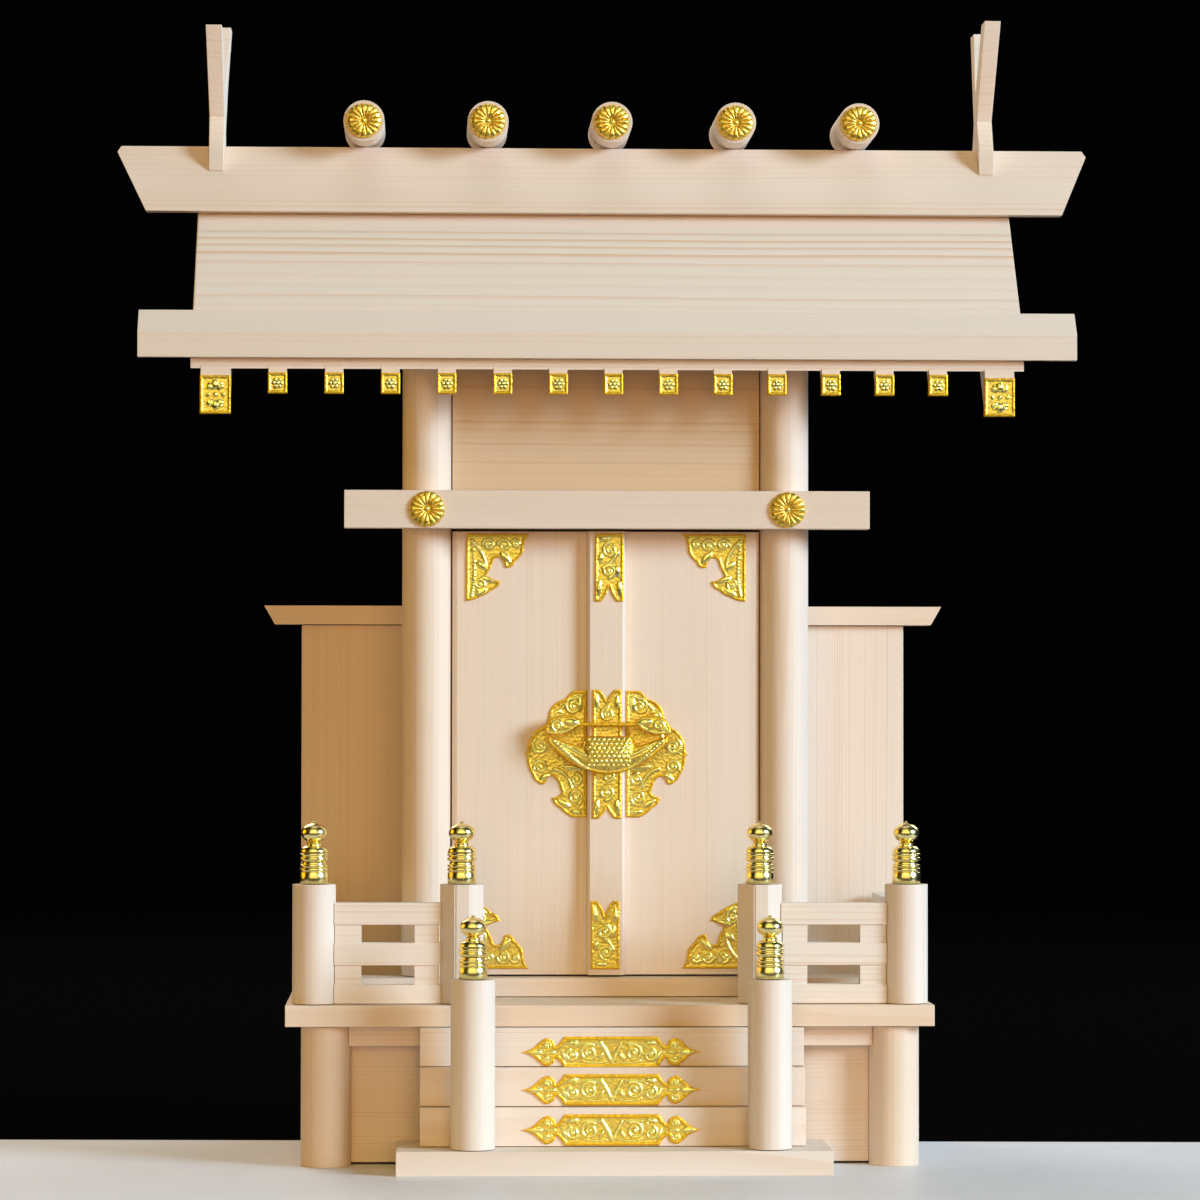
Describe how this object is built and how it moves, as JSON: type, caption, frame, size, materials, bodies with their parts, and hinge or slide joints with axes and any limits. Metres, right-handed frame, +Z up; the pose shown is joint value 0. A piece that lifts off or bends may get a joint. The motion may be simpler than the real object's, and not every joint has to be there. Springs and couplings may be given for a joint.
{
  "type": "household shinto shrine",
  "caption": "Upright wooden household shrine with a gabled roof, crossed ridge finials, front steps, railed veranda and hinged double doors before a hollow sanctuary.",
  "frame": {"origin": "middle of the footprint, on the surface the shrine stands on", "axes": "+X to the viewer's right, +Y from the steps to the back wall, +Z up"},
  "size_m": [0.4244, 0.1986, 0.4901],
  "materials": {
    "cypress": "planed, unvarnished",
    "gilt": "polished gilt brass"
  },
  "bodies": {
    "shrine": {"balustrade_front_left": "cypress", "balustrade_front_right": "cypress", "balustrade_side_left": "cypress", "balustrade_side_right": "cypress", "base_board": "cypress", "chigi_left": "cypress", "chigi_right": "cypress", "corner_finial_left": "gilt", "corner_finial_right": "gilt", "corner_post_left": "cypress", "corner_post_right": "cypress", "eave_board_back": "cypress", "eave_board_front": "cypress", "front_panel": "cypress", "katsuogi_1": "cypress", "katsuogi_2": "cypress", "katsuogi_3": "cypress", "katsuogi_4": "cypress", "katsuogi_5": "cypress", "leg_front_left": "cypress", "leg_front_right": "cypress", "newel_finial_left": "gilt", "newel_finial_right": "gilt", "pillar_left": "cypress", "pillar_right": "cypress", "ridge_board_back": "cypress", "ridge_board_front": "cypress", "roof_back": "cypress", "roof_base": "cypress", "roof_base_back": "cypress", "roof_front": "cypress", "stair_finial_left": "gilt", "stair_finial_right": "gilt", "stair_newel_left": "cypress", "stair_newel_right": "cypress", "step_lower": "cypress", "step_middle": "cypress", "step_upper": "cypress", "threshold": "cypress", "tie_beam": "cypress", "underfloor_back": "cypress", "underfloor_front": "cypress", "underfloor_left": "cypress", "underfloor_right": "cypress", "veranda_floor": "cypress", "veranda_newel_left": "cypress", "veranda_newel_right": "cypress", "wall_back": "cypress", "wall_left": "cypress", "wall_right": "cypress", "wing_cap_left": "cypress", "wing_cap_right": "cypress", "wing_left": "cypress", "wing_right": "cypress"},
    "door_left": {"door_left": "cypress"},
    "door_right": {"door_right": "cypress", "meeting_strip": "cypress", "door_lock": "gilt"}
  },
  "joints": [
    {"name": "door_right_hinge", "type": "hinge", "parent": "shrine", "child": "door_right", "pos_m": [0.0633, 0.005, 0.17], "axis": [0, 0, 1], "range_deg": [0, 70]},
    {"name": "door_left_hinge", "type": "hinge", "parent": "shrine", "child": "door_left", "pos_m": [-0.0633, 0.005, 0.17], "axis": [0, 0, -1], "range_deg": [0, 70]}
  ],
  "couplings": [
    {"joint": "door_left_hinge", "follows": "door_right_hinge", "ratio": 1}
  ]
}
